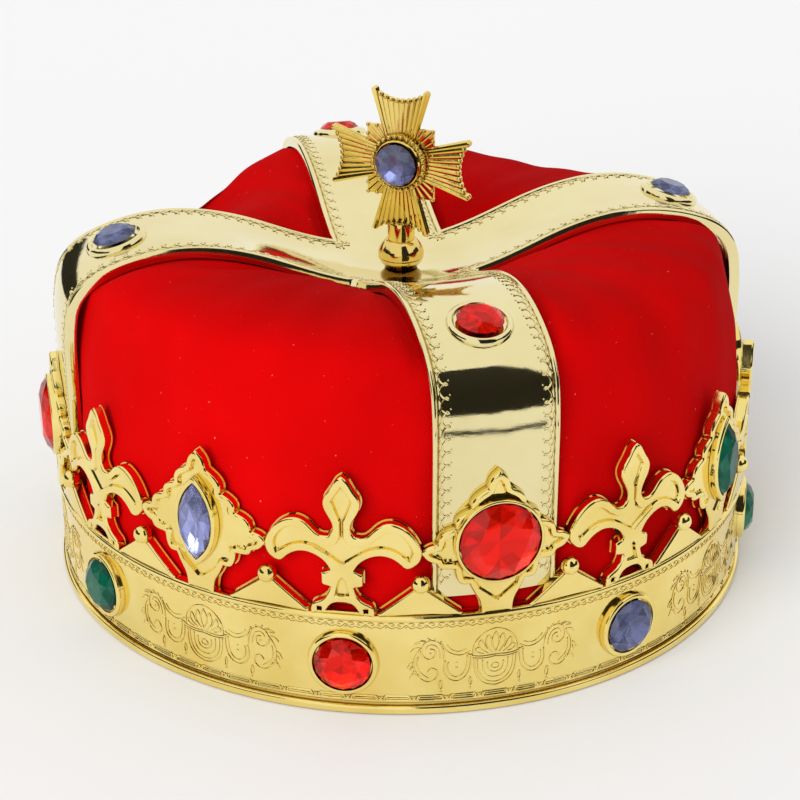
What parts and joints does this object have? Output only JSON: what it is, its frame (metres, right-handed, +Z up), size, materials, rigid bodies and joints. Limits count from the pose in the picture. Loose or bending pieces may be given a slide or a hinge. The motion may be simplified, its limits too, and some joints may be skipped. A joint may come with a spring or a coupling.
{
  "type": "costume crown",
  "caption": "Moulded gold costume king's crown with lily and lozenge cresting, crossing arches, a cross finial, set gems and a red velvet cap.",
  "frame": {"origin": "on the crown's axis, at the height of the lip that it stands on", "axes": "+Z up along the crown's axis; -Y through the front arch, +X through the right arch as the wearer's viewer sees it"},
  "size_m": [0.1964, 0.1964, 0.1287],
  "materials": {
    "gold_band": "vacuum-metallised warm gold, mirror gloss",
    "gold_arches": "vacuum-metallised pale gold, mirror gloss",
    "gold_finial": "vacuum-metallised deep gold, gloss",
    "red_velvet": "short-pile velvet",
    "gem_red": "polished facets over a foil back",
    "gem_blue": "polished facets over a foil back",
    "gem_green": "polished facets over a foil back"
  },
  "bodies": {
    "root": {"band": "gold_band", "arches": "gold_arches", "velvet_cap": "red_velvet", "finial_cross": "gold_finial", "finial_knob": "gold_finial", "band_gem_1": "gem_blue", "band_gem_2": "gem_green", "band_gem_3": "gem_red", "band_gem_4": "gem_blue", "band_gem_5": "gem_red", "band_gem_6": "gem_blue", "band_gem_7": "gem_green", "band_gem_8": "gem_red", "crest_gem_front": "gem_red", "crest_gem_right": "gem_red", "crest_gem_back": "gem_red", "crest_gem_left": "gem_red", "marquise_gem_1": "gem_green", "marquise_gem_2": "gem_blue", "marquise_gem_3": "gem_green", "marquise_gem_4": "gem_blue", "arch_gem_front": "gem_red", "arch_gem_right": "gem_blue", "arch_gem_back": "gem_red", "arch_gem_left": "gem_blue", "cross_gem": "gem_blue"}
  },
  "joints": []
}
